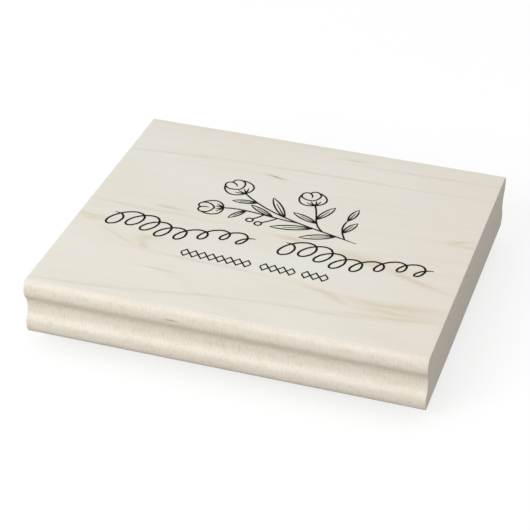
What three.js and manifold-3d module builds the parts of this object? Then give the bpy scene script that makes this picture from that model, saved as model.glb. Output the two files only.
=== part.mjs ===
// A hand stamp: a rubber die on a foam cushion, bonded under a maple block whose two long sides
// carry a moulded finger grip. The block's top shows an inked picture of what the die prints.
// Millimetres, +Z up. The origin is the middle of the print face, where the die meets the paper.
// +X runs along the moulded sides, and the picture reads upright with +Y up the page.

import * as THREE from "three";
import { mergeVertices } from "three/addons/utils/BufferGeometryUtils.js";
import Module from "manifold-3d";

const wasm = await Module();
wasm.setup();

// ---- Driving dimensions ------------------------------------------------------------------

const INCH = 25.4;

const BLOCK = {
  width: 5 * INCH, // along the moulded sides
  depth: 4.5 * INCH, // over the upper beads
  height: 0.75 * INCH, // three-quarter-inch stock
  easedEdge: 0.2, // sanding on the two sawn ends
  curveSegments: 10, // facets on each curve of the moulding
};

// The moulding, from the flat top down to the base. `out` is measured from the outermost point of
// the upper bead, so it is 0 or less; `up` is the height above the base. `pull` holds the two
// control points of the Bezier curve that comes down to the point from the one above it.
const MOULDING = {
  topFlat: { out: -2, up: BLOCK.height },
  upperBead: { out: 0, up: 15.5, pull: [[-0.8, BLOCK.height], [0, 17.5]] },
  cove: { out: -2.15, up: 8.9, pull: [[0, 12.8], [-2.15, 12.8]] },
  lowerBead: { out: -0.48, up: 3.7, pull: [[-2.15, 5.6], [-0.48, 6.3]] },
  base: { out: -1.9, up: 0, pull: [[-0.48, 2.2], [-0.8, 0.8]] },
};

const DIE = {
  width: 115,
  depth: 92,
  corner: 4,
  floor: 1.25, // the sheet left behind the raised lines
  relief: 1, // how far the raised lines stand out of the floor
};
const ADHESIVE = 0.125; // film on each face of the cushion
const CUSHION = 3.125;
const INK = 0.05;

const ROOT_IN_FLOOR = 0.125; // raised lines run this far into the floor that they stand on

const PEN = {
  drawing: 0.58,
  flourish: 0.72,
  border: 0.5,
  tip: 0.22, // what a line thins to where the pen lifts
  lift: 2.5, // length over which it thins
  runOn: 0.1, // how far a line that doesn't lift runs on into its neighbour
};
const FLATNESS = 0.036; // how far a facet of a stroke may cut inside its curve

// Heights of the stack, from the paper up.
const Z_FLOOR = DIE.relief;
const Z_DIE_BACK = Z_FLOOR + DIE.floor;
const Z_CUSHION = Z_DIE_BACK + ADHESIVE;
const Z_CUSHION_TOP = Z_CUSHION + CUSHION;
const Z_BLOCK = Z_CUSHION_TOP + ADHESIVE;
const Z_TOP = Z_BLOCK + BLOCK.height;

// ---- Materials ---------------------------------------------------------------------------

const material = (color, roughness) =>
  new THREE.MeshStandardMaterial({ color, roughness, metalness: 0 });

const MAPLE = material(0xe4ddcf, 0.55);
const INK_BLACK = material(0x1b1715, 0.6);
const RUBBER = material(0xa8382f, 0.7);
const FOAM = material(0xd9d8d4, 0.9);
const FILM = material(0xe9e4d2, 0.3);

// ---- Solids ------------------------------------------------------------------------------

function toManifold(geometry) {
  const bare = geometry.clone();
  bare.deleteAttribute("normal");
  bare.deleteAttribute("uv");
  const welded = mergeVertices(bare, 1e-4);
  return new wasm.Manifold(
    new wasm.Mesh({
      numProp: 3,
      vertProperties: welded.attributes.position.array,
      triVerts: new Uint32Array(welded.index.array),
    }),
  );
}

function toGeometry(manifold) {
  const { vertProperties, triVerts } = manifold.getMesh();
  const geometry = new THREE.BufferGeometry();
  geometry.setAttribute("position", new THREE.BufferAttribute(vertProperties, 3));
  geometry.setIndex(new THREE.BufferAttribute(triVerts, 1));
  return geometry;
}

function solid(name, geometry, surface, z = 0) {
  const mesh = new THREE.Mesh(geometry, surface);
  mesh.name = name;
  mesh.position.z = z;
  return mesh;
}

// ---- The block ---------------------------------------------------------------------------

// The block's cross-section. The moulding runs down the left side and back up the right.
function blockSection() {
  const x = (out) => BLOCK.depth / 2 + out;
  const points = Object.values(MOULDING);
  const section = new THREE.Shape();
  section.moveTo(x(points[0].out), points[0].up);
  section.lineTo(-x(points[0].out), points[0].up);
  for (const { out, up, pull: [a, b] } of points.slice(1)) {
    section.bezierCurveTo(-x(a[0]), a[1], -x(b[0]), b[1], -x(out), up);
  }
  section.lineTo(x(MOULDING.base.out), MOULDING.base.up);
  for (let i = points.length - 1; i > 0; i--) {
    const [a, b] = points[i].pull;
    const above = points[i - 1];
    section.bezierCurveTo(x(b[0]), b[1], x(a[0]), a[1], x(above.out), above.up);
  }
  return section;
}

function blockGeometry() {
  const eased = BLOCK.easedEdge;
  const geometry = new THREE.ExtrudeGeometry(blockSection(), {
    depth: BLOCK.width - 2 * eased,
    curveSegments: BLOCK.curveSegments,
    bevelThickness: eased,
    bevelSize: eased,
    bevelOffset: -eased,
    bevelSegments: 1,
  });
  // The section is drawn across Y and Z, and the moulding runs along X.
  return geometry
    .translate(0, 0, -BLOCK.width / 2 + eased)
    .rotateX(Math.PI / 2)
    .rotateZ(Math.PI / 2);
}

// ---- Sheets under the block --------------------------------------------------------------

function dieOutline() {
  const [x, y, r] = [DIE.width / 2, DIE.depth / 2, DIE.corner];
  const outline = new THREE.Shape();
  outline.absarc(x - r, y - r, r, 0, Math.PI / 2);
  outline.absarc(-x + r, y - r, r, Math.PI / 2, Math.PI);
  outline.absarc(-x + r, -y + r, r, Math.PI, 1.5 * Math.PI);
  outline.absarc(x - r, -y + r, r, 1.5 * Math.PI, 2 * Math.PI);
  return outline;
}

const sheet = (thickness) =>
  new THREE.ExtrudeGeometry(dieOutline(), {
    depth: thickness,
    bevelEnabled: false,
    curveSegments: 8,
  });

// ---- Pen strokes -------------------------------------------------------------------------

const vec = (x, y) => new THREE.Vector2(x, y);

// Places along a curve, as shares of its length, close together where it bends and far apart
// where it runs straight. A chord of length c across a bend of radius r is c * c / (8 * r) inside
// it, so a short piece of curve needs sqrt(turn * length / (8 * FLATNESS)) chords.
function facetEnds(curve) {
  const samples = 200;
  const sampleLength = curve.getLength() / samples;
  const chords = [0];
  for (let i = 0; i < samples; i++) {
    const turn = curve.getTangentAt(i / samples).angleTo(curve.getTangentAt((i + 1) / samples));
    chords.push(chords[i] + Math.sqrt((turn * sampleLength) / (8 * FLATNESS)));
  }
  const total = chords[samples];
  const count = Math.max(1, Math.ceil(total));
  const ends = Array.from({ length: count }, (_, i) => {
    return chords.findIndex((soFar) => soFar >= (i * total) / count) / samples;
  });
  return [...ends, 1];
}

// A stroke is a plane curve with a pen width. It thins towards each end that lifts off the page,
// and runs on a little past each end that doesn't, into the stroke that it grows from or meets.
function stroke(curve, width, { liftStart = true, liftEnd = true } = {}) {
  const length = curve.getLength();
  const lift = Math.min(PEN.lift, length / 2);
  const pressure = (travelled) => {
    const fromStart = liftStart ? travelled : lift;
    const fromEnd = liftEnd ? length - travelled : lift;
    const share = Math.min(1, fromStart / lift, fromEnd / lift);
    return PEN.tip + (width - PEN.tip) * share;
  };
  return facetEnds(curve).map((u) => {
    const along = curve.getTangentAt(u);
    const runOn = (u === 1 && !liftEnd ? PEN.runOn : 0) - (u === 0 && !liftStart ? PEN.runOn : 0);
    return {
      at: curve.getPointAt(u).addScaledVector(along, runOn),
      left: vec(-along.y, along.x),
      half: pressure(u * length) / 2,
    };
  });
}

// A stroke as a solid of unit height.
function ribbon(stations) {
  const corner = ({ at, left, half }, side, z) => [
    at.x + left.x * half * side,
    at.y + left.y * half * side,
    z,
  ];
  const positions = stations.flatMap((station) => [
    ...corner(station, 1, 0),
    ...corner(station, -1, 0),
    ...corner(station, -1, 1),
    ...corner(station, 1, 1),
  ]);
  const index = [0, 1, 2, 0, 2, 3];
  const last = 4 * (stations.length - 1);
  for (let here = 0; here < last; here += 4) {
    for (let side = 0; side < 4; side++) {
      const [a, b] = [here + side, here + ((side + 1) % 4)];
      index.push(a, a + 4, b + 4, a, b + 4, b);
    }
  }
  index.push(last, last + 2, last + 1, last, last + 3, last + 2);
  const geometry = new THREE.BufferGeometry();
  geometry.setAttribute("position", new THREE.Float32BufferAttribute(positions, 3));
  geometry.setIndex(index);
  return geometry;
}

// Strokes joined into one solid of unit height. Each is laid down in short runs, so that a loop
// may cross itself.
function drawn(strokes) {
  const runLength = 4;
  const runs = strokes.flatMap((stations) => {
    const count = Math.ceil((stations.length - 1) / runLength);
    return Array.from({ length: count }, (_, i) =>
      stations.slice(i * runLength, (i + 1) * runLength + 1),
    );
  });
  return toGeometry(wasm.Manifold.union(runs.map((run) => toManifold(ribbon(run)))));
}

const ofHeight = (geometry, height) => geometry.clone().scale(1, 1, height);

// ---- The picture -------------------------------------------------------------------------

const polar = (origin, angle, length) =>
  vec(origin.x + length * Math.cos(angle), origin.y + length * Math.sin(angle));
const degrees = THREE.MathUtils.degToRad;

// Places local points, given as [along, aside] shares of a size, at a base and an angle.
function placer(base, angle, size) {
  const [c, s] = [Math.cos(angle) * size, Math.sin(angle) * size];
  return ([along, aside]) => vec(base.x + along * c - aside * s, base.y + along * s + aside * c);
}

const bezier = (points) => new THREE.CubicBezierCurve(...points);
const angleAt = (curve, t) => curve.getTangent(t).angle();

const UNLIFTED = { liftStart: false, liftEnd: false };
const LIFTED_AT_END = { liftStart: false };

function leaf(base, angle, length, fullness = 0.2) {
  const place = placer(base, angle, length);
  const edge = (side) =>
    bezier([[0, 0], [0.3, side * fullness], [0.72, side * fullness * 0.9], [1, 0]].map(place));
  const midrib = new THREE.LineCurve(place([0, 0]), place([0.7, 0]));
  return [edge(1), edge(-1), midrib].map((line) => stroke(line, PEN.drawing, LIFTED_AT_END));
}

// A cup-shaped bloom seen from the side: two outer petals that fold in at the lip, two petals
// behind them, and creases that rise from the stem.
function bloom(base, angle, size) {
  const place = placer(base, angle, size);
  const line = (points, lifts) => stroke(bezier(points.map(place)), PEN.drawing, lifts);
  const outerPetal = (side) => [
    line([[0, 0], [0.02, side * 0.6], [0.5, side * 0.72], [0.92, side * 0.42]], UNLIFTED),
    line([[0.92, side * 0.42], [0.68, side * 0.42], [0.5, side * 0.3], [0.4, 0]], UNLIFTED),
  ];
  const backPetal = (side) =>
    line([[0.82, side * 0.4], [1.12, side * 0.4], [1.18, side * 0.1], [1, 0]], UNLIFTED);
  const parting = line([[1, 0], [0.88, -0.06], [0.78, -0.06], [0.64, 0.02]], LIFTED_AT_END);
  const creases = [-0.3, -0.12, 0.12, 0.3].map((lean) => {
    const reach = 0.4 - Math.abs(lean) * 0.3;
    return line([[0, 0], [0.12, lean * 0.5], [0.24, lean * 0.9], [reach, lean]], LIFTED_AT_END);
  });
  return [...[1, -1].flatMap(outerPetal), ...[1, -1].map(backPetal), parting, ...creases];
}

const BERRY_RADIUS = 1.15;

function berry(base, angle, stalk, radius) {
  const end = polar(base, angle, stalk);
  const middle = polar(end, angle, radius);
  const bend = polar(polar(base, angle, stalk * 0.5), angle + Math.PI / 2, stalk * 0.08);
  const ring = new THREE.EllipseCurve(middle.x, middle.y, radius, radius);
  return [
    stroke(new THREE.QuadraticBezierCurve(base, bend, end), PEN.drawing, UNLIFTED),
    stroke(ring, PEN.drawing, UNLIFTED),
  ];
}

// A spray of blooms, leaves and berries that grows from the lower right to the left.
function spray() {
  const mainStem = bezier([vec(27, -2.5), vec(13, 2), vec(-3, 4), vec(-16, 16)]);
  const upperStem = bezier([mainStem.getPoint(0.28), vec(10, 5), vec(11, 10), vec(8, 16)]);
  const lowerStem = bezier([mainStem.getPoint(0.48), vec(-5, 4), vec(-12, 7), vec(-20, 5)]);
  const twig = bezier([mainStem.getPoint(0.1), vec(21, 2), vec(19, 6), vec(21, 11)]);
  const leafOn = (stem, t, lean, length, fullness) =>
    leaf(stem.getPoint(t), angleAt(stem, t) + degrees(lean), length, fullness);
  const bloomOn = (stem, size) => bloom(stem.getPoint(1), angleAt(stem, 1), size);
  const berryOn = (stem, t, lean, stalk) =>
    berry(stem.getPoint(t), angleAt(stem, t) + degrees(lean), stalk, BERRY_RADIUS);
  return [
    stroke(mainStem, PEN.drawing, { liftEnd: false }),
    stroke(upperStem, PEN.drawing, UNLIFTED),
    stroke(lowerStem, PEN.drawing, UNLIFTED),
    stroke(twig, PEN.drawing, LIFTED_AT_END),
    ...bloomOn(mainStem, 8.5),
    ...bloomOn(upperStem, 8),
    ...bloomOn(lowerStem, 7.5),
    ...leafOn(mainStem, 0.17, 36, 12, 0.15),
    ...leafOn(mainStem, 0.36, 30, 14, 0.13),
    ...leafOn(mainStem, 0.6, -34, 13, 0.13),
    ...leafOn(mainStem, 0.86, 42, 8.5, 0.16),
    ...leafOn(upperStem, 0.34, 42, 10, 0.15),
    ...leafOn(upperStem, 0.5, -40, 10, 0.16),
    ...leafOn(twig, 0.35, -44, 8, 0.18),
    ...leafOn(twig, 0.95, 6, 8, 0.18),
    ...leafOn(lowerStem, 0.3, -22, 10.5, 0.13),
    ...leafOn(lowerStem, 0.68, 58, 7.5, 0.17),
    ...berryOn(lowerStem, 0.24, 52, 6),
    ...berryOn(lowerStem, 0.42, 60, 4.5),
  ];
}

// A pen flourish: a slow wave with loops that ride on it, leaning to the right. The loops shrink
// from the start of the line to its end.
class Flourish extends THREE.Curve {
  constructor(from, to, shape) {
    super();
    Object.assign(this, { from, to, shape });
  }

  getPoint(t) {
    const { middle, waves, loops, waveHeight, loopHeight, loopReach, swell, lean } = this.shape;
    const wave = t * waves * 2 * Math.PI;
    const loop = t * loops * 2 * Math.PI;
    const size = 1 + swell * Math.cos(t * Math.PI);
    const rise = waveHeight * Math.sin(wave) + loopHeight * size * Math.cos(loop);
    const run = THREE.MathUtils.lerp(this.from, this.to, t) + loopReach * size * Math.sin(loop);
    return vec(run + lean * rise, middle + rise);
  }
}

const FLOURISH = {
  middle: -13.2,
  waves: 1.5,
  loops: 8,
  waveHeight: 2.2,
  loopHeight: 3.6,
  loopReach: 3,
  swell: 0.2, // how much larger the first loop is, and how much smaller the last
  lean: 0.38,
};

function flourish(from, to) {
  return [stroke(new Flourish(from, to, FLOURISH), PEN.flourish)];
}

// Two zigzags that cross, which leaves a row of lozenges between them.
function lozenges(from, count, { middle, pitch, height }) {
  const half = ((PEN.border / 2) * Math.hypot(pitch, height)) / pitch;
  const station = (x, y) => ({ at: vec(from + x, middle + y), left: vec(0, 1), half });
  const zigzag = (side) => [
    station(0, 0),
    ...Array.from({ length: count }, (_, i) =>
      station((i + 0.5) * pitch, ((i % 2 ? -1 : 1) * side * height) / 2),
    ),
    station(count * pitch, 0),
  ];
  return [zigzag(1), zigzag(-1)];
}

const BORDER = { middle: -24.9, pitch: 2.9, height: 3.8 };

const PICTURE = {
  index_print_spray: drawn(spray()),
  index_print_flourish_left: drawn(flourish(-54, -5)),
  index_print_flourish_right: drawn(flourish(4, 53)),
  index_print_border_left: drawn(lozenges(-24, 8, BORDER)),
  index_print_border_middle: drawn(lozenges(2, 4, BORDER)),
  index_print_border_right: drawn(lozenges(15.5, 3, BORDER)),
};

// ---- The die -----------------------------------------------------------------------------

function dieGeometry() {
  const floor = toManifold(sheet(DIE.floor).translate(0, 0, Z_FLOOR));
  const raised = Object.values(PICTURE).map((lines) =>
    toManifold(ofHeight(lines, DIE.relief + ROOT_IN_FLOOR)),
  );
  return toGeometry(raised.reduce((joined, lines) => joined.add(lines), floor));
}

// ---- The assembly ------------------------------------------------------------------------

const die = new THREE.Group();
die.add(
  solid("rubber_die", dieGeometry(), RUBBER),
  solid("die_adhesive_film", sheet(ADHESIVE), FILM, Z_DIE_BACK),
);

const block = new THREE.Group();
block.add(
  solid("foam_cushion", sheet(CUSHION), FOAM, Z_CUSHION),
  solid("block_adhesive_film", sheet(ADHESIVE), FILM, Z_CUSHION_TOP),
  solid("maple_block", blockGeometry(), MAPLE, Z_BLOCK),
);
for (const [name, lines] of Object.entries(PICTURE)) {
  block.add(solid(name, ofHeight(lines, INK), INK_BLACK, Z_TOP));
}

const stamp = new THREE.Group();
stamp.add(die, block);

export default stamp;
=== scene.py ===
"""The looks of a wood-mounted hand stamp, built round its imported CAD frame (metres, +Z up)."""

import math

import bmesh
import bpy
import numpy as np
from mathutils import Matrix, Vector, noise


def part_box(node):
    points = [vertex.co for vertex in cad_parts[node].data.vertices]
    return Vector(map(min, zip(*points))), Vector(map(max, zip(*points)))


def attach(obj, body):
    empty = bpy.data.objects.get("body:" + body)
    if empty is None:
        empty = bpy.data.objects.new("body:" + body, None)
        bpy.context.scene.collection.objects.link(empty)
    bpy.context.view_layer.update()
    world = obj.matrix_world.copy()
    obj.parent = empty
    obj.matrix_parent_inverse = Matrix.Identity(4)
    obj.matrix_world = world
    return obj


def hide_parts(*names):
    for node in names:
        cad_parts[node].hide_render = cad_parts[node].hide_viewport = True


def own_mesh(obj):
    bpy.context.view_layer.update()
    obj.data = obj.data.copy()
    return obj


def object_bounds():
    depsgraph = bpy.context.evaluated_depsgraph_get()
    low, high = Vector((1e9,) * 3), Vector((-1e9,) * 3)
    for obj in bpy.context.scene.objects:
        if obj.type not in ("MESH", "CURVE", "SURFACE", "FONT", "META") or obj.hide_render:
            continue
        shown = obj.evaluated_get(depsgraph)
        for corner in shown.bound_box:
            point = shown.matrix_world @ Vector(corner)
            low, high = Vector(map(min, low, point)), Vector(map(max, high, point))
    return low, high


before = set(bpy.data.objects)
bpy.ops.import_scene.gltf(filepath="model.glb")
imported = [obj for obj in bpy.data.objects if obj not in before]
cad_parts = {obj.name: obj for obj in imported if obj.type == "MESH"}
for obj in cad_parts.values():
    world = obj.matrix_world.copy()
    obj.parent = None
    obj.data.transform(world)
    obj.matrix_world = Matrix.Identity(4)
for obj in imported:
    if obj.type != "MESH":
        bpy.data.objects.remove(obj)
cad_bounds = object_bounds()

MM = 0.001
BLOCK_LOW, BLOCK_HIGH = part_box("maple_block")
FOAM_LOW, FOAM_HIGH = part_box("foam_cushion")
DIE_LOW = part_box("rubber_die")[0]
TOP_MM = BLOCK_HIGH.z / MM
INK_NODES = [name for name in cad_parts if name.startswith("index_print")]
FILM_NODES = ["block_adhesive_film", "die_adhesive_film"]

# ---- Dimensions, in millimetres ----------------------------------------------------------

BLOCK = {
    "profile_step": 0.22,
    "length_steps": 120,
    "across_steps": 40,
    "arris": 0.18,  # rounding of the sawn ends' edges
    "arris_steps": 3,
    "sanding": 0.05,  # how far the hand-sanded sides and ends wander
    "sanding_reach": 14,
    "sanding_fade": 2,  # the sanding dies out over this height below the top
    "end_sanding": 0.5,  # the ends' share of it
    "inner": 40,  # everything further from the middle along y is a moulded side
    "smooth_angle": 24,
}
FOAM = {
    "corner": 4,
    "corner_steps": 12,
    "step": 0.4,  # spacing round the edge
    "rows": 15,
    "pinch": 0.3,  # how far the bonded edges sit inside the bulging middle
    "pit": 0.32,  # depth of a cut cell where the noise is 1 over its threshold
    "pit_size": 0.5,
    "pit_threshold": 0.1,
    "whole_edge": 8,  # the higher this power, the closer to the bonded edges the pits run
    "cap_rings": (0.985, 0.94, 0.8, 0.55, 0.28),
    "smooth_angle": 50,
}
DIE = {
    "relief": 1.0,  # height of the raised lines
    "shoulder": 0.07,  # how far the foot of each raised line spreads
    "draft": 0.035,  # how far its printing edge draws in
    "level": 1.01,  # vertices over this share of the relief aren't part of it
    "opposed": 0.2,  # walls whose directions add up to less than this face each other
    "folded": 0.3,  # a face is turned over when its old and new directions agree less than this
    "tries": 12,
}

# ---- Meshes ------------------------------------------------------------------------------


def new_piece(name, vertices, faces, smooth_angle=30):
    """A mesh object from vertices in millimetres, shaded smooth up to an angle in degrees."""
    mesh = bpy.data.meshes.new(name)
    mesh.from_pydata((np.asarray(vertices) * MM).tolist(), [], faces)
    welded = bmesh.new()
    welded.from_mesh(mesh)
    bmesh.ops.remove_doubles(welded, verts=welded.verts, dist=1e-7)
    bmesh.ops.recalc_face_normals(welded, faces=welded.faces)
    welded.to_mesh(mesh)
    welded.free()
    mesh.shade_smooth()
    mesh.set_sharp_from_angle(angle=math.radians(smooth_angle))
    piece = bpy.data.objects.new(name, mesh)
    bpy.context.scene.collection.objects.link(piece)
    return piece


def wander(seed, place, reach):
    """Smooth noise from about -1 to 1, which changes over a distance of reach."""
    return noise.noise(Vector(place) / reach + Vector((37.1, -17.3, 7.9)) * seed)


def resampled(points, step):
    """Points spaced evenly along a line, near a step apart."""
    along = np.concatenate([[0], np.cumsum(np.linalg.norm(np.diff(points, axis=0), axis=1))])
    wanted = np.linspace(0, along[-1], round(along[-1] / step) + 1)
    return np.column_stack([np.interp(wanted, along, column) for column in points.T])


def smooth_line(points, steps=6):
    """A Catmull-Rom line through points."""
    ends = np.vstack([2 * points[0] - points[1], points, 2 * points[-1] - points[-2]])
    t = np.linspace(0, 1, steps, endpoint=False)[:, None]
    spans = []
    for before, start, end, after in zip(ends, ends[1:], ends[2:], ends[3:]):
        slope = end - before
        bend = 2 * before - 5 * start + 4 * end - after
        twist = 3 * start - before - 3 * end + after
        spans.append(start + 0.5 * (slope * t + bend * t**2 + twist * t**3))
    return np.vstack([*spans, points[-1:]])


def grid_faces(first, rows, columns):
    """Quads over a grid of vertices that starts at index first."""
    return [
        (at, at + 1, at + 1 + columns, at + columns)
        for row in range(rows - 1)
        for at in range(first + row * columns, first + row * columns + columns - 1)
    ]


# ---- The maple block ---------------------------------------------------------------------


def moulding_line():
    """The CAD block's moulded side as (distance from the middle, height), from the bottom up."""
    corners = np.array([vertex.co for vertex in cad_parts["maple_block"].data.vertices]) / MM
    reach = np.abs(corners[:, 0])
    front = (corners[:, 1] < 0) & (reach < reach.max() - 0.01)
    section = np.unique(np.round(corners[front][:, 1:], 3), axis=0)
    section = section[np.lexsort((-section[:, 0], section[:, 1]))]
    return resampled(smooth_line(section * [-1, 1]), BLOCK["profile_step"])


def section_normals(side):
    """Outward directions along the moulded side."""
    along = np.gradient(side, axis=0)
    across = np.column_stack([along[:, 1], -along[:, 0]])
    return across / np.linalg.norm(across, axis=1)[:, None]


def block_stations():
    """(x, inset) down the block: the inset rounds the edges of the sawn ends."""
    arris = BLOCK["arris"]
    half = BLOCK_HIGH.x / MM
    turns = np.linspace(0, math.pi / 2, BLOCK["arris_steps"] + 1)
    rounding = [(half - arris * (1 - math.sin(turn)), arris * (1 - math.cos(turn))) for turn in turns]
    middle = np.linspace(arris - half, half - arris, BLOCK["length_steps"])[1:-1]
    left = [(-x, inset) for x, inset in reversed(rounding)]
    return left + [(x, 0.0) for x in middle] + rounding


def block_piece():
    """The block as six grids, one for each face, joined along their edges."""
    side = moulding_line()
    normals = section_normals(side)
    stations = block_stations()
    across = np.linspace(-1, 1, BLOCK["across_steps"] + 1)
    low, high = side[:, 1].min(), side[:, 1].max()

    def line_at(inset):
        line = side - normals * inset
        line[:, 1] = np.clip(line[:, 1], low + inset, high - inset)
        return line

    lines = [(x, line_at(inset)) for x, inset in stations]
    grids = [
        [[(x, share * y, z) for y, z in line] for x, line in lines] for share in (-1, 1)
    ]
    grids += [
        [[(x, share * line[row][0], line[row][1]) for share in across] for x, line in lines]
        for row in (0, -1)
    ]
    grids += [
        [[(x, share * y, z) for share in across] for y, z in line] for x, line in (lines[0], lines[-1])
    ]
    vertices, faces = [], []
    for grid in grids:
        faces += grid_faces(len(vertices), len(grid), len(grid[0]))
        vertices += [place for row in grid for place in row]
    vertices = [sanded(Vector(place)) for place in vertices]
    return new_piece("maple_block_sanded", vertices, faces, BLOCK["smooth_angle"])


def sanded(place):
    """A point of the block, moved a little in or out on the sides and ends, not on the top."""
    amount, reach = BLOCK["sanding"], BLOCK["sanding_reach"]
    fade = min(1.0, (TOP_MM - place.z) / BLOCK["sanding_fade"])
    inward = amount * fade * (0.5 + 0.5 * wander(3, place, reach))
    half_length = BLOCK_HIGH.x / MM
    if abs(place.x) > half_length - BLOCK["arris"]:
        return place - Vector((math.copysign(inward * BLOCK["end_sanding"], place.x), 0, 0))
    if abs(place.y) > BLOCK["inner"]:
        return place - Vector((0, math.copysign(inward, place.y), 0))
    return place


# ---- The foam cushion --------------------------------------------------------------------


def rounded_outline(half_width, half_depth, corner, step):
    """Points round a rectangle with rounded corners, and their outward directions."""
    turns = np.linspace(0, math.pi / 2, FOAM["corner_steps"] + 1)
    points = []
    for quarter, (x, y) in enumerate([(1, 1), (-1, 1), (-1, -1), (1, -1)]):
        middle = np.array([x * (half_width - corner), y * (half_depth - corner)])
        for turn in turns + quarter * math.pi / 2:
            points.append(middle + corner * np.array([math.cos(turn), math.sin(turn)]))
    outline = resampled(np.array(points + points[:1]), step)[:-1]
    along = np.roll(outline, -1, axis=0) - np.roll(outline, 1, axis=0)
    outward = np.column_stack([along[:, 1], -along[:, 0]])
    return outline, outward / np.linalg.norm(outward, axis=1)[:, None]


def foam_piece():
    """A die-cut foam sheet: its edge bulges between the bonded faces, and its cut cells show as pits."""
    low, high = FOAM_LOW.z / MM, FOAM_HIGH.z / MM
    half = (FOAM_HIGH - FOAM_LOW) / (2 * MM)
    outline, outward = rounded_outline(half.x, half.y, FOAM["corner"], FOAM["step"])
    count = len(outline)

    def edge_row(share):
        height = low + share * (high - low)
        row = []
        from_middle = 2 * share - 1
        fade = 1 - from_middle ** FOAM["whole_edge"]
        for (x, y), direction in zip(outline, outward):
            cell = wander(11, (x, y, height), FOAM["pit_size"]) - FOAM["pit_threshold"]
            inset = FOAM["pinch"] * from_middle**2 + max(0.0, cell) * FOAM["pit"] * fade
            row.append((x - direction[0] * inset, y - direction[1] * inset, height))
        return row

    edge = [edge_row(share) for share in np.linspace(0, 1, FOAM["rows"])]
    lower_cap = [[(x * s, y * s, low) for x, y, _ in edge[0]] for s in reversed(FOAM["cap_rings"])]
    upper_cap = [[(x * s, y * s, high) for x, y, _ in edge[-1]] for s in FOAM["cap_rings"]]
    rings = lower_cap + edge + upper_cap
    vertices = [place for ring in rings for place in ring]
    faces = []
    for first in range(0, (len(rings) - 1) * count, count):
        for i in range(count):
            here, beside = first + i, first + (i + 1) % count
            faces.append((here, beside, beside + count, here + count))
    faces.append(tuple(reversed(range(count))))
    faces.append(tuple(range(len(vertices) - count, len(vertices))))
    return new_piece("foam_cushion_cut", vertices, faces, FOAM["smooth_angle"])


# ---- The rubber die ----------------------------------------------------------------------


def die_piece():
    """The CAD die with the raised lines' walls sloped, wider at the foot than at the printing edge."""
    shape = bmesh.new()
    shape.from_mesh(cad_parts["rubber_die"].data)
    bmesh.ops.remove_doubles(shape, verts=shape.verts, dist=1e-7)
    shape.verts.index_update()
    shape.normal_update()
    moves = {}
    for vertex in shape.verts:
        walls = [face.normal for face in vertex.link_faces if abs(face.normal.z) < 0.5]
        outward = sum(walls, Vector())
        outward.z = 0
        share = (vertex.co.z - DIE_LOW.z) / (DIE["relief"] * MM)
        if share > DIE["level"] or outward.length < DIE["opposed"]:
            continue
        spread = share * DIE["shoulder"] - (1 - share) * DIE["draft"]
        moves[vertex] = outward.normalized() * spread * MM
    move_without_folds(shape, moves)
    vertices = [vertex.co / MM for vertex in shape.verts]
    faces = [[vertex.index for vertex in face.verts] for face in shape.faces]
    shape.free()
    return new_piece("rubber_die_moulded", vertices, faces)


def move_without_folds(shape, moves):
    """Moves vertices, and halves any move that turns a face over until none does."""
    starts = {vertex: vertex.co.copy() for vertex in moves}
    facings = {face: face.normal.copy() for face in shape.faces}
    for _ in range(DIE["tries"]):
        for vertex, move in moves.items():
            vertex.co = starts[vertex] + move
        shape.normal_update()
        folded = [f for f, facing in facings.items() if f.normal.dot(facing) < DIE["folded"]]
        for vertex in {vertex for face in folded for vertex in face.verts if vertex in moves}:
            moves[vertex] = moves[vertex] / 2


# ---- Shader building ---------------------------------------------------------------------


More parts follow.
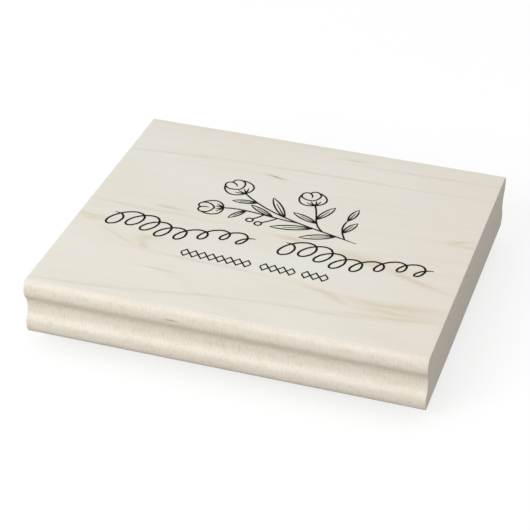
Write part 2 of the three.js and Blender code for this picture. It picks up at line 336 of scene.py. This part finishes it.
class Shader:
    """A node material in the making. Each method adds a node and returns its output."""

    def __init__(self, name):
        self.material = bpy.data.materials.new(name)
        self.material.use_nodes = True
        self.tree = self.material.node_tree
        self.surface = self.tree.nodes["Principled BSDF"]

    def feed(self, socket, value):
        if isinstance(value, bpy.types.NodeSocket):
            self.tree.links.new(value, socket)
        else:
            socket.default_value = value

    def node(self, kind, inputs, **settings):
        made = self.tree.nodes.new(kind)
        for setting, value in settings.items():
            setattr(made, setting, value)
        for key, value in inputs.items():
            self.feed(made.inputs[key], value)
        return made

    def math(self, operation, *values):
        inputs = dict(enumerate(values))
        return self.node("ShaderNodeMath", inputs, operation=operation).outputs[0]

    def chain(self, operation, values):
        result = values[0]
        for value in values[1:]:
            result = self.math(operation, result, value)
        return result

    def total(self, *values):
        return self.chain("ADD", values)

    def times(self, *values):
        return self.chain("MULTIPLY", values)

    def most(self, *values):
        return self.chain("MAXIMUM", values)

    def ramp(self, value, low, high, to_low=0.0, to_high=1.0):
        """A smooth step: to_low where value is at or under low, to_high at or over high."""
        limits = {"From Min": low, "From Max": high, "To Min": to_low, "To Max": to_high}
        inputs = {"Value": value, **limits}
        return self.node("ShaderNodeMapRange", inputs, interpolation_type="SMOOTHSTEP").outputs[0]

    def scaled(self, vector, by):
        return self.node("ShaderNodeVectorMath", {0: vector, 1: by}, operation="MULTIPLY").outputs[0]

    def moved(self, vector, by):
        return self.node("ShaderNodeVectorMath", {0: vector, 1: by}, operation="ADD").outputs[0]

    def parts(self, vector):
        return self.node("ShaderNodeSeparateXYZ", {0: vector}).outputs

    def joined(self, x, y, z):
        return self.node("ShaderNodeCombineXYZ", {0: x, 1: y, 2: z}).outputs[0]

    def noise(self, at, per_mm, detail=2.0, roughness=0.5, seed=0):
        """Noise from 0 to 1, with its own number of changes per millimetre along x, y and z."""
        place = self.moved(self.scaled(at, per_mm), (13.7 * seed, -7.1 * seed, 3.3 * seed))
        inputs = {"Vector": place, "Scale": 1.0, "Detail": detail, "Roughness": roughness}
        return self.node("ShaderNodeTexNoise", inputs).outputs[0]

    def centred_noise(self, at, per_mm, detail, roughness, seed):
        """The same noise, from -0.5 to 0.5."""
        return self.math("SUBTRACT", self.noise(at, per_mm, detail, roughness, seed), 0.5)

    def cells(self, at, per_mm, seed=0):
        """The distance to the nearest of many scattered points, in cells."""
        place = self.moved(self.scaled(at, per_mm), (5.3 * seed, 11.9 * seed, -2.7 * seed))
        return self.node("ShaderNodeTexVoronoi", {"Vector": place, "Scale": 1.0}).outputs["Distance"]

    def mix(self, share, a, b, blend="MIX"):
        inputs = {0: share, 6: a, 7: b}
        return self.node("ShaderNodeMix", inputs, data_type="RGBA", blend_type=blend).outputs[2]

    def spot(self, at, middle, size, turn=0.0):
        """1 at a place, fading to 0 past an ellipsoid of that size, turned by degrees about z."""
        inputs = {"Vector": at, "Location": middle, "Rotation": (0, 0, math.radians(turn)), "Scale": size}
        near = self.node("ShaderNodeMapping", inputs, vector_type="TEXTURE").outputs[0]
        square = self.node("ShaderNodeVectorMath", {0: near, 1: near}, operation="DOT_PRODUCT")
        return self.math("EXPONENT", self.times(square.outputs["Value"], -1.0))

    def place_mm(self):
        """The place on the object, in millimetres."""
        at = self.node("ShaderNodeTexCoord", {}).outputs["Object"]
        return self.scaled(at, (1 / MM,) * 3)

    def facing(self):
        """How far the surface faces along each axis, from 0 to 1."""
        normal = self.node("ShaderNodeNewGeometry", {}).outputs["Normal"]
        return self.parts(self.node("ShaderNodeVectorMath", {0: normal}, operation="ABSOLUTE").outputs[0])

    def bump(self, height, depth_mm):
        """A bump from a height of 0 to 1, over a depth."""
        inputs = {"Height": height, "Distance": depth_mm * MM, "Strength": 1.0}
        return self.node("ShaderNodeBump", inputs).outputs[0]

    def finish(self, **inputs):
        for key, value in inputs.items():
            self.feed(self.surface.inputs[key.replace("_", " ")], value)
        return self.material


def srgb(red, green, blue):
    """A display colour, 0 to 255, as Blender's linear colour."""
    shares = (red / 255, green / 255, blue / 255)
    return (*(c / 12.92 if c < 0.0405 else ((c + 0.055) / 1.055) ** 2.4 for c in shares), 1.0)


# ---- Maple -------------------------------------------------------------------------------

# The shaders' frequencies are in changes per millimetre along x, y and z.

MAPLE = {
    "pale": srgb(230, 227, 216),
    "pink": srgb(229, 224, 212),
    # painted shade: laid on the top, darker and warmer towards its right end and back
    "far_edge_shade": srgb(228, 220, 208),
    "honey": srgb(215, 203, 179),
    "late_wood": srgb(203, 191, 170),
    "fleck": srgb(168, 136, 108),
    "grey": srgb(184, 172, 156),
    "end": srgb(224, 218, 209),
}
SIDE_SHADE_TINT = (0.955, 0.94, 0.932, 1.0)  # painted shade: the moulded sides are painted darker and warmer than the top
PITH = {"y": -36.0, "depth": 58.0, "rise": -0.06, "drift": 0.03}
RING = 3.6  # a year's growth, mm

# Streaks in the wood of the top: middle (x, y), half length and width, turn in degrees.
BROWN_FLECKS = [((-9.7, 29.8), (2.8, 0.6), -13)]
GREY_STREAKS = [
    ((12.7, 49.5), (4.8, 0.65), 4),
    ((-28.3, -36.6), (5.6, 0.45), -4),
    ((-36.5, -0.3), (4.8, 0.7), -4),
]
GRAIN_LINES = [
    ((-50.0, 33.9), (17.0, 0.7), 4),
    ((-37.5, 34.9), (4.5, 0.8), 6),
    ((12.0, 36.6), (44.0, 0.65), 1),
    ((40.0, 47.1), (25.0, 0.65), 1),
    ((-42.0, -3.3), (27.0, 0.7), -2),
    ((-46.0, -21.9), (9.0, 0.6), -26),
    ((-14.0, -28.5), (24.0, 0.6), -4),
    ((-47.0, -51.7), (18.0, 0.6), 5),
    ((-12.0, -46.8), (24.0, 0.6), 7),
    ((22.0, -43.7), (17.0, 0.6), 4),
    ((53.0, -18.7), (11.0, 0.6), -20),
]
HONEY_PATCHES = [
    ((7.0, -6.5), (7.0, 1.1), -4),
    ((31.0, -10.4), (9.5, 2.2), -15),
    ((47.0, -16.6), (9.0, 1.2), -21),
    ((-59.5, -13.4), (6.0, 1.3), -3),
    ((-37.6, -21.0), (3.2, 1.6), 32),
    ((-37.0, -24.3), (3.0, 1.2), -35),
    ((25.0, -32.8), (8.0, 1.3), -20),
    ((29.5, -35.6), (4.5, 1.1), -14),
    ((48.0, -33.0), (17.0, 1.7), 4),
    ((49.0, -36.4), (13.0, 1.5), 2),
    ((49.0, -39.6), (16.0, 1.5), 9),
    ((58.0, 9.3), (5.0, 0.9), 9),
    ((59.0, 7.1), (5.0, 0.7), -10),
]
KNOT = {  # on the front bead
    "x": -15.5,
    "up": 15.5,
    "half_length": 2.0,
    "half_height": 0.3,
    "depth": 3.0,
}


def top_spots(shader, at, spots, depth=5.0):
    """The strongest of several streaks that start at the top and die out below it."""
    masks = [
        shader.spot(at, (x, y, TOP_MM), (length, width, depth), turn)
        for (x, y), (length, width), turn in spots
    ]
    return shader.most(*masks)


def front_knot(shader, at, rise=0.0):
    """A pin knot in the front bead or, with a rise, the paler wood that swells over it."""
    middle = (KNOT["x"], BLOCK_LOW.y / MM, BLOCK_LOW.z / MM + KNOT["up"] + rise)
    size = (KNOT["half_length"], KNOT["depth"], KNOT["half_height"] + rise / 3)
    return shader.spot(at, middle, size)


def ring_lines(wood, at):
    """The dark line at the end of each year's growth, strong in some places and lost in others."""
    x, y, z = wood.parts(at)[:3]
    wave = wood.centred_noise(at, (0.016, 0.045, 0.045), 2, 0.45, 1)
    ripple = wood.centred_noise(at, (0.09, 0.12, 0.12), 1, 0.5, 2)
    side = wood.total(y, -PITH["y"], wood.times(x, PITH["drift"]))
    depth = wood.total(z, PITH["depth"] - TOP_MM, wood.times(x, PITH["rise"]))
    radius = wood.math("SQRT", wood.total(wood.times(side, side), wood.times(depth, depth)))
    warped = wood.total(radius, wood.times(wave, 9.0), wood.times(ripple, 0.9))
    share = wood.math("FRACT", wood.times(warped, 1 / RING))
    plain = wood.ramp(wood.noise(at, (0.02, 0.07, 0.07), 2, 0.6, 3), 0.38, 0.68, 0.1, 1.0)
    return wood.times(wood.ramp(share, 0.55, 0.9), wood.ramp(share, 0.9, 1.0, 1.0, 0.0), plain)


def figured_wood(wood, at, streak, line, on_top):
    """The wood's colour: pale with soft clouds, growth lines, streaks and flecks, and painted shade on
    the top towards its right end and back.
    """
    sway = wood.centred_noise(at, (0.03, 0.02, 0.02), 1, 0.5, 10)
    billow = wood.centred_noise(at, (0.07, 0.16, 0.1), 2, 0.6, 11)
    fray = wood.times(wood.math("SUBTRACT", streak, 0.5), 1.6)
    swayed = wood.moved(at, wood.joined(0.0, wood.total(wood.times(sway, 3.0), fray), 0.0))
    frayed = wood.moved(at, wood.joined(0.0, wood.times(fray, 2.0), 0.0))
    billowed = wood.moved(frayed, wood.joined(0.0, wood.times(billow, 6.0), 0.0))
    brown = top_spots(wood, frayed, BROWN_FLECKS)
    grey = top_spots(wood, frayed, GREY_STREAKS)
    long = top_spots(wood, swayed, GRAIN_LINES, 14.0)
    patch = wood.times(top_spots(wood, billowed, HONEY_PATCHES), wood.ramp(streak, 0.35, 0.6, 0.55, 1.0))

    cloud = wood.noise(at, (0.018, 0.035, 0.035), 2, 0.5, 6)
    ray = wood.ramp(wood.cells(at, (0.5, 3.2, 1.1), 1), 0.12, 0.34, 1.0, 0.0)
    x, y = wood.parts(at)[:2]
    # where the painted shade on the top is laid: towards its right end and back
    shade_towards_far_edges = wood.most(wood.ramp(x, 22.0, 58.0), wood.ramp(y, 42.0, 56.0))

    colour = wood.mix(wood.ramp(cloud, 0.35, 0.68), MAPLE["pale"], MAPLE["pink"])
    # painted shade: the top turns darker and warmer towards its right end and back
    colour = wood.mix(wood.times(on_top, shade_towards_far_edges, 0.65), colour, MAPLE["far_edge_shade"])
    colour = wood.mix(wood.times(line, 0.08), colour, MAPLE["late_wood"])
    colour = wood.mix(wood.times(patch, 0.9), colour, MAPLE["honey"])
    colour = wood.mix(wood.times(long, 0.34), colour, MAPLE["late_wood"])
    colour = wood.mix(wood.times(brown, 0.8), colour, MAPLE["fleck"])
    colour = wood.mix(wood.times(grey, 0.5), colour, MAPLE["grey"])
    return wood.mix(wood.times(on_top, ray, 0.1), colour, MAPLE["late_wood"])


def moulded_wood(wood, at, colour, dash, on_side):
    """The long sides: tufts of short upright dashes, one pin knot, and painted shade that makes them
    darker and warmer.
    """
    tuft = wood.noise(at, (0.2, 0.3, 0.45), 2, 0.6, 7)
    tufts = wood.times(on_side, wood.ramp(tuft, 0.35, 0.65))
    dashes = wood.times(on_side, wood.ramp(dash, 0.42, 0.66), wood.ramp(tuft, 0.35, 0.65, 0.5, 1.0))
    colour = wood.mix(wood.times(tufts, 0.14), colour, MAPLE["honey"])
    colour = wood.mix(wood.times(dashes, 0.5), colour, MAPLE["late_wood"])
    colour = wood.mix(wood.times(on_side, front_knot(wood, at, 1.1), 0.5), colour, MAPLE["pale"])
    colour = wood.mix(wood.times(on_side, front_knot(wood, at), 0.75), colour, MAPLE["fleck"])
    # painted shade: the moulded sides' colour is darkened and warmed here
    return wood.mix(on_side, colour, wood.mix(1.0, colour, SIDE_SHADE_TINT, "MULTIPLY"))


def sawn_wood(wood, colour, line, pore, on_end):
    """The ends: greyer, with open pores and a trace of the growth lines."""
    colour = wood.mix(wood.times(on_end, 0.8), colour, MAPLE["end"])
    colour = wood.mix(wood.times(on_end, line, 0.22), colour, MAPLE["late_wood"])
    return wood.mix(wood.times(on_end, pore, 0.35), colour, MAPLE["grey"])


def maple():
    """Pale maple, different on the planed top, the moulded sides and the sawn ends."""
    wood = Shader("maple")
    at = wood.place_mm()
    end_on, side_on, top_on = wood.facing()[:3]
    on_top = wood.ramp(top_on, 0.6, 0.9)
    on_side = wood.ramp(side_on, 0.25, 0.6)
    on_end = wood.ramp(end_on, 0.5, 0.8)

    streak = wood.noise(at, (0.035, 1.3, 1.3), 3, 0.55, 4)
    fibre = wood.noise(at, (0.12, 5.0, 5.0), 2, 0.6, 5)
    dash = wood.noise(at, (1.7, 1.7, 0.5), 3, 0.7, 8)
    saw = wood.noise(at, (0.2, 0.5, 7.0), 2, 0.6, 9)
    pore = wood.ramp(wood.cells(at, (2.6, 2.6, 2.6), 2), 0.1, 0.28, 1.0, 0.0)
    line = ring_lines(wood, at)

    colour = figured_wood(wood, at, streak, line, on_top)
    colour = moulded_wood(wood, at, colour, dash, on_side)
    colour = sawn_wood(wood, colour, line, pore, on_end)
    streak_tone = wood.ramp(streak, 0.3, 0.7, 0.985, 1.006)
    tone = wood.total(streak_tone, wood.ramp(fibre, 0.3, 0.7, -0.008, 0.006))
    colour = wood.mix(1.0, colour, wood.joined(tone, tone, tone), "MULTIPLY")

    grain = wood.total(wood.times(streak, 0.3), wood.times(fibre, 0.4), wood.times(dash, on_side, -0.3))
    height = wood.total(grain, wood.times(pore, -0.5), wood.times(saw, on_end, 0.5))
    return wood.finish(
        Base_Color=colour,
        Roughness=wood.total(wood.ramp(fibre, 0.25, 0.75, 0.52, 0.66), wood.times(on_end, 0.14)),
        Specular_IOR_Level=wood.ramp(on_side, 0.0, 1.0, 0.28, 0.6),
        Normal=wood.bump(height, 0.03),
    )


# ---- The other materials -----------------------------------------------------------------


def ink():
    """Matt black ink, a little thinner where the wood's fibres took less of it."""
    coat = Shader("index_ink")
    at = coat.place_mm()
    fibre = coat.noise(at, (0.6, 6.0, 1.0), 2, 0.6, 21)
    patch = coat.noise(at, (0.25, 0.4, 1.0), 2, 0.5, 22)
    starved = coat.times(coat.ramp(fibre, 0.6, 0.75), coat.ramp(patch, 0.45, 0.7))
    colour = coat.mix(coat.ramp(patch, 0.3, 0.7), srgb(16, 15, 14), srgb(26, 24, 22))
    colour = coat.mix(coat.times(starved, 0.4), colour, srgb(74, 68, 61))
    return coat.finish(
        Base_Color=colour,
        Roughness=coat.ramp(fibre, 0.3, 0.7, 0.6, 0.78),
        Specular_IOR_Level=0.08,
        Normal=coat.bump(fibre, 0.01),
    )


def foam():
    """Pale grey closed-cell foam with cut cells at its edge, and painted shade in the cells' hollows."""
    sheet = Shader("cushion_foam")
    at = sheet.place_mm()
    cell = sheet.cells(at, (3.4, 3.4, 3.4), 31)
    fine = sheet.cells(at, (7.0, 7.0, 7.0), 32)
    patch = sheet.noise(at, (0.12, 0.12, 0.5), 2, 0.5, 33)
    wall = sheet.ramp(cell, 0.2, 0.6)
    shaded_hollow = sheet.ramp(wall, 0.0, 1.0, 1.0, 0.0)
    colour = sheet.mix(sheet.ramp(patch, 0.35, 0.65), srgb(214, 214, 210), srgb(204, 203, 198))
    # painted shade: the cells' hollows are darkened
    colour = sheet.mix(sheet.times(shaded_hollow, 0.4), colour, srgb(158, 157, 152))
    height = sheet.total(sheet.times(wall, 0.7), sheet.times(sheet.ramp(fine, 0.1, 0.5), 0.3))
    return sheet.finish(
        Base_Color=colour,
        Roughness=sheet.ramp(patch, 0.3, 0.7, 0.82, 0.94),
        Specular_IOR_Level=0.2,
        Sheen_Weight=0.15,
        Normal=sheet.bump(height, 0.09),
    )


def film():
    """Clear double-sided adhesive, a little yellow, with trapped specks of dust and air."""
    tape = Shader("adhesive_film")
    at = tape.place_mm()
    haze = tape.noise(at, (0.4, 0.4, 2.0), 3, 0.6, 41)
    bubble = tape.ramp(tape.cells(at, (0.8, 0.8, 0.8), 42), 0.04, 0.12, 1.0, 0.0)
    colour = tape.mix(tape.ramp(haze, 0.3, 0.7), srgb(226, 220, 198), srgb(214, 205, 176))
    colour = tape.mix(tape.times(bubble, 0.5), colour, srgb(240, 238, 228))
    return tape.finish(
        Base_Color=colour,
        Roughness=tape.ramp(haze, 0.3, 0.7, 0.18, 0.36),
        Transmission_Weight=0.35,
        Normal=tape.bump(tape.total(haze, bubble), 0.02),
    )


def rubber():
    """Brick-red rubber with a fine mould grain, mottled, and a light bloom on its faces."""
    sheet = Shader("stamp_rubber")
    at = sheet.place_mm()
    mottle = sheet.noise(at, (0.16, 0.16, 0.16), 3, 0.6, 51)
    grain = sheet.noise(at, (9.0, 9.0, 9.0), 2, 0.6, 52)
    speck = sheet.ramp(sheet.cells(at, (1.6, 1.6, 1.6), 53), 0.05, 0.16, 1.0, 0.0)
    bloom = sheet.ramp(sheet.noise(at, (0.05, 0.07, 0.3), 2, 0.5, 54), 0.45, 0.75)
    colour = sheet.mix(sheet.ramp(mottle, 0.3, 0.7), srgb(166, 62, 50), srgb(150, 52, 43))
    colour = sheet.mix(sheet.times(bloom, 0.22), colour, srgb(190, 118, 106))
    colour = sheet.mix(sheet.times(speck, 0.4), colour, srgb(112, 36, 31))
    height = sheet.total(sheet.times(grain, 0.6), sheet.times(mottle, 0.4), sheet.times(speck, -0.3))
    return sheet.finish(
        Base_Color=colour,
        Roughness=sheet.total(sheet.ramp(grain, 0.3, 0.7, 0.42, 0.56), sheet.times(bloom, 0.15)),
        Specular_IOR_Level=0.45,
        Normal=sheet.bump(height, 0.04),
    )


# ---- Assembly ----------------------------------------------------------------------------


def dress(piece, material):
    """The piece shows this material and no other."""
    piece.data.materials.clear()
    piece.data.materials.append(material)


def place(piece, body, node, slot, material):
    """The piece takes a CAD node's place on its body."""
    dress(piece, material)
    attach(piece, body)
    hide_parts(node)


def assemble():
    place(block_piece(), "block", "maple_block", "maple", maple())
    place(die_piece(), "die", "rubber_die", "stamp_rubber", rubber())

    cushion = foam_piece()
    place(cushion, "block", "foam_cushion", "cushion_foam", foam())
    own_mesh(cushion)

    black = ink()
    for name in INK_NODES:
        dress(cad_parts[name], black)
    tape = film()
    for name in FILM_NODES:
        dress(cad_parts[name], tape)


# ---- Studio ------------------------------------------------------------------------------

CAMERA = {
    "aim": (3.4, -23.7),  # mm on the block's top, from its middle
    "heading": 17.14,  # degrees to the left of +Y
    "elevation": 32.53,
    "roll": 1.09,
    "distance": 554.3,
    "lens": 121.2,
}
KEY = {"azimuth": -25.0, "elevation": 31.0, "distance": 1.3, "size": 0.8, "share": 0.57}
SKY = {"zenith": 0.74, "horizon": 0.71}
FLOOR = {
    "size": 8.0,  # m
    "seen": 0.28,  # the camera sees this much of the light that falls on it, and the glow
    "glow": 0.74,
    "gap": 0.02,  # mm between it and the die
    "bounce": (0.37, 0.343, 0.3, 1.0),  # what it sends back to the object
}


def add_camera():
    heading, elevation = math.radians(CAMERA["heading"]), math.radians(CAMERA["elevation"])
    forward = Vector((-math.sin(heading), math.cos(heading), 0)) * math.cos(elevation)
    forward.z = -math.sin(elevation)
    aim = Vector((CAMERA["aim"][0] * MM, CAMERA["aim"][1] * MM, BLOCK_HIGH.z))
    data = bpy.data.cameras.new("camera")
    data.lens = CAMERA["lens"]
    data.clip_start = 0.01
    camera = bpy.data.objects.new("camera", data)
    upright = forward.to_track_quat("-Z", "Y").to_matrix().to_4x4()
    turned = upright @ Matrix.Rotation(math.radians(CAMERA["roll"]), 4, "Z")
    camera.matrix_world = Matrix.Translation(aim - forward * CAMERA["distance"] * MM) @ turned
    bpy.context.scene.collection.objects.link(camera)
    bpy.context.scene.camera = camera


def add_key_light():
    """One large soft light. Its share is what it adds to a white surface that faces it."""
    azimuth, elevation = math.radians(KEY["azimuth"]), math.radians(KEY["elevation"])
    towards = Vector((math.sin(azimuth), -math.cos(azimuth), 0)) * math.cos(elevation)
    towards.z = math.sin(elevation)
    data = bpy.data.lights.new("key", "AREA")
    data.shape = "DISK"
    data.size = KEY["size"]
    data.energy = KEY["share"] * math.pi**2 * KEY["distance"] ** 2
    light = bpy.data.objects.new("key", data)
    light.location = towards * KEY["distance"]
    light.rotation_euler = towards.to_track_quat("Z", "Y").to_euler()
    bpy.context.scene.collection.objects.link(light)


def add_sky():
    """A pale studio: brighter overhead than at the horizon, and white where the camera sees it."""
    world = bpy.data.worlds.new("studio")
    world.use_nodes = True
    bpy.context.scene.world = world
    nodes, links = world.node_tree.nodes, world.node_tree.links
    background = nodes["Background"]
    height = nodes.new("ShaderNodeSeparateXYZ")
    links.new(nodes.new("ShaderNodeNewGeometry").outputs["Incoming"], height.inputs[0])
    sky = nodes.new("ShaderNodeMapRange")
    sky.inputs["From Min"].default_value = 0.0
    sky.inputs["From Max"].default_value = -1.0
    sky.inputs["To Min"].default_value = SKY["horizon"]
    sky.inputs["To Max"].default_value = SKY["zenith"]
    links.new(height.outputs["Z"], sky.inputs["Value"])
    seen = nodes.new("ShaderNodeMix")
    links.new(nodes.new("ShaderNodeLightPath").outputs["Is Camera Ray"], seen.inputs[0])
    links.new(sky.outputs[0], seen.inputs[2])
    seen.inputs[3].default_value = 1.0
    links.new(seen.outputs[0], background.inputs["Strength"])
    background.inputs["Color"].default_value = (1, 1, 1, 1)


def floor_material():
    """White paper with a faint tooth, that the camera sees brighter than it lights the object."""
    paper = Shader("studio_floor")
    at = paper.place_mm()
    tooth = paper.ramp(paper.noise(at, (0.8, 0.8, 0.8), 3, 0.6, 61), 0.3, 0.7, 0.99, 1.0)
    seen = paper.node("ShaderNodeLightPath", {}).outputs["Is Camera Ray"]
    shown = paper.times(tooth, FLOOR["seen"])
    return paper.finish(
        Base_Color=paper.mix(seen, FLOOR["bounce"], paper.joined(shown, shown, shown)),
        Roughness=0.9,
        Specular_IOR_Level=0.0,
        Emission_Color=(1, 1, 1, 1),
        Emission_Strength=paper.times(seen, FLOOR["glow"]),
    )


def add_floor():
    half = FLOOR["size"] / (2 * MM)
    corners = [(-half, -half, 0), (half, -half, 0), (half, half, 0), (-half, half, 0)]
    floor = new_piece("floor", corners, [(0, 1, 2, 3)])
    floor.location.z = cad_bounds[0][2] - FLOOR["gap"] * MM
    dress(floor, floor_material())


assemble()
add_floor()
add_sky()
add_key_light()
add_camera()
bpy.context.scene.view_settings.view_transform = "Standard"
